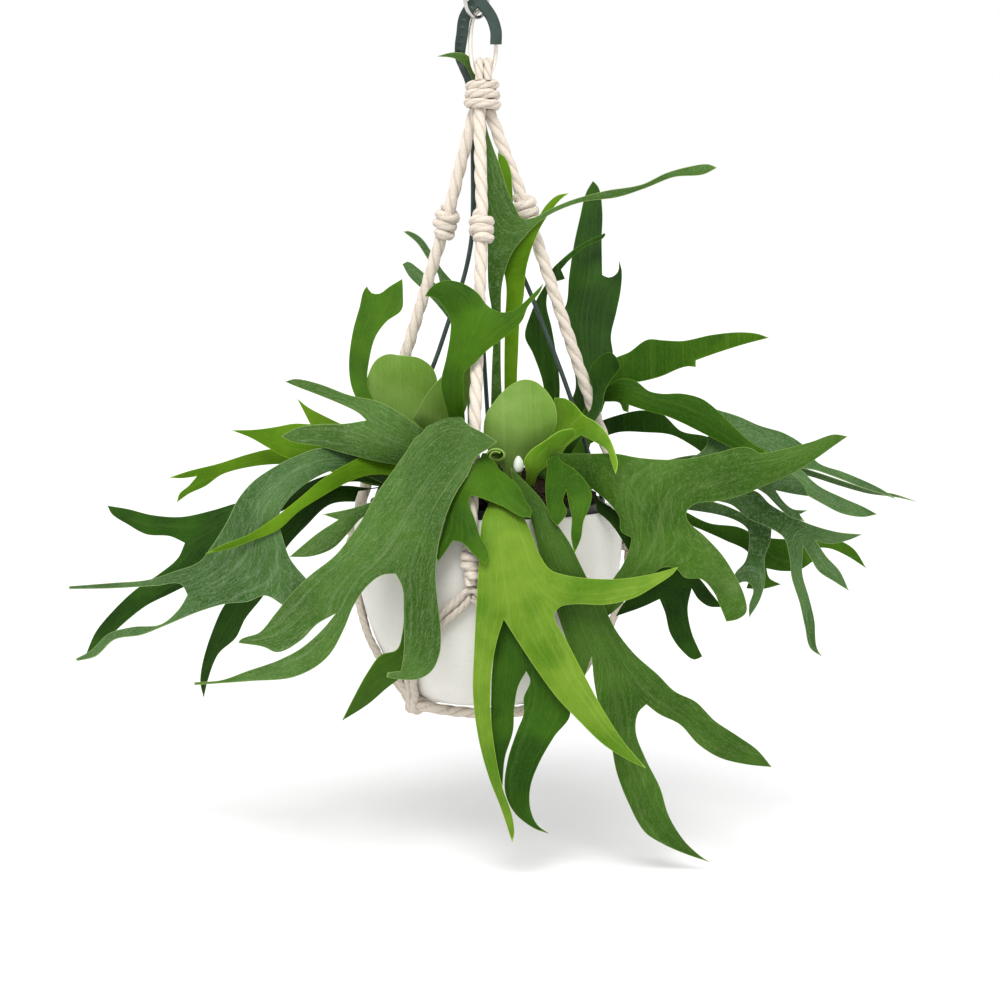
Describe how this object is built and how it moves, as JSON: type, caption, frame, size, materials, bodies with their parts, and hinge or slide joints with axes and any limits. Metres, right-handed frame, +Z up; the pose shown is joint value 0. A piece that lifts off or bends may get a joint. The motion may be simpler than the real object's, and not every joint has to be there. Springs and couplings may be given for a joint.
{
  "type": "hanging staghorn fern",
  "caption": "Staghorn fern in a round white bowl, hung from a steel ring by a knotted cotton rope hanger.",
  "frame": {"origin": "inside top of the steel ring, the point that hangs on a ceiling hook", "axes": "+Z up, -Y towards the viewer's side where the longest fronds hang, +X to the viewer's right"},
  "size_m": [0.6433, 0.241, 0.6448],
  "materials": {
    "ring_steel": "bright wire",
    "link_wire": "satin wire",
    "hanger_plastic": "moulded, satin",
    "white_ceramic": "matt glaze",
    "pot_plastic": "moulded",
    "soil": "damp peat and bark",
    "crown_fibre": "fibrous, dry",
    "cotton_rope": "twisted cotton",
    "frond_dark": "leathery leaf, satin",
    "frond_bloom": "leathery leaf with pale bloom",
    "frond_lime": "leathery leaf, satin",
    "frond_green": "leathery leaf, satin",
    "shield_pale": "smooth leaf, satin",
    "bud_felt": "felted hairs"
  },
  "bodies": {
    "root": {"base_rope": "cotton_rope", "bowl": "white_ceramic", "bud": "bud_felt", "cord_front": "cotton_rope", "cord_left": "cotton_rope", "cord_right": "cotton_rope", "crown": "crown_fibre", "frond_back_bright": "frond_lime", "frond_back_dark": "frond_dark", "frond_back_left": "frond_bloom", "frond_back_right": "frond_dark", "frond_back_tall": "frond_green", "frond_centre_fold": "frond_green", "frond_curl": "shield_pale", "frond_front_left": "frond_green", "frond_front_lime": "frond_lime", "frond_front_right": "frond_green", "frond_left_bright": "frond_lime", "frond_left_dark": "frond_dark", "frond_left_down": "frond_dark", "frond_left_inner": "frond_lime", "frond_left_mid": "frond_green", "frond_left_olive": "frond_lime", "frond_left_silver": "frond_bloom", "frond_left_thin": "frond_lime", "frond_left_upright": "frond_lime", "frond_low_dark": "frond_dark", "frond_low_left": "frond_dark", "frond_low_right": "frond_bloom", "frond_olive_right": "frond_dark", "frond_pot_front": "frond_green", "frond_right_arch": "frond_green", "frond_right_dark_upper": "frond_dark", "frond_right_drop": "frond_lime", "frond_right_folded": "frond_dark", "frond_right_fork": "frond_bloom", "frond_right_grey": "frond_bloom", "frond_right_small": "frond_bloom", "frond_right_thin": "frond_bloom", "frond_right_under": "frond_dark", "frond_right_upper": "frond_green", "frond_wavy": "shield_pale", "hang_ring": "ring_steel", "hanger_hook": "hanger_plastic", "hanger_strut_back": "hanger_plastic", "hanger_strut_left": "hanger_plastic", "hanger_strut_right": "hanger_plastic", "nursery_pot": "pot_plastic", "rope_fold": "cotton_rope", "rope_link": "link_wire", "shield_curled": "shield_pale", "shield_left_back": "shield_pale", "shield_left_front": "shield_pale", "shield_lip": "shield_pale", "shield_round": "shield_pale", "soil": "soil", "strands_front": "cotton_rope", "strands_left": "cotton_rope", "strands_right": "cotton_rope", "top_knot": "cotton_rope"}
  },
  "joints": []
}
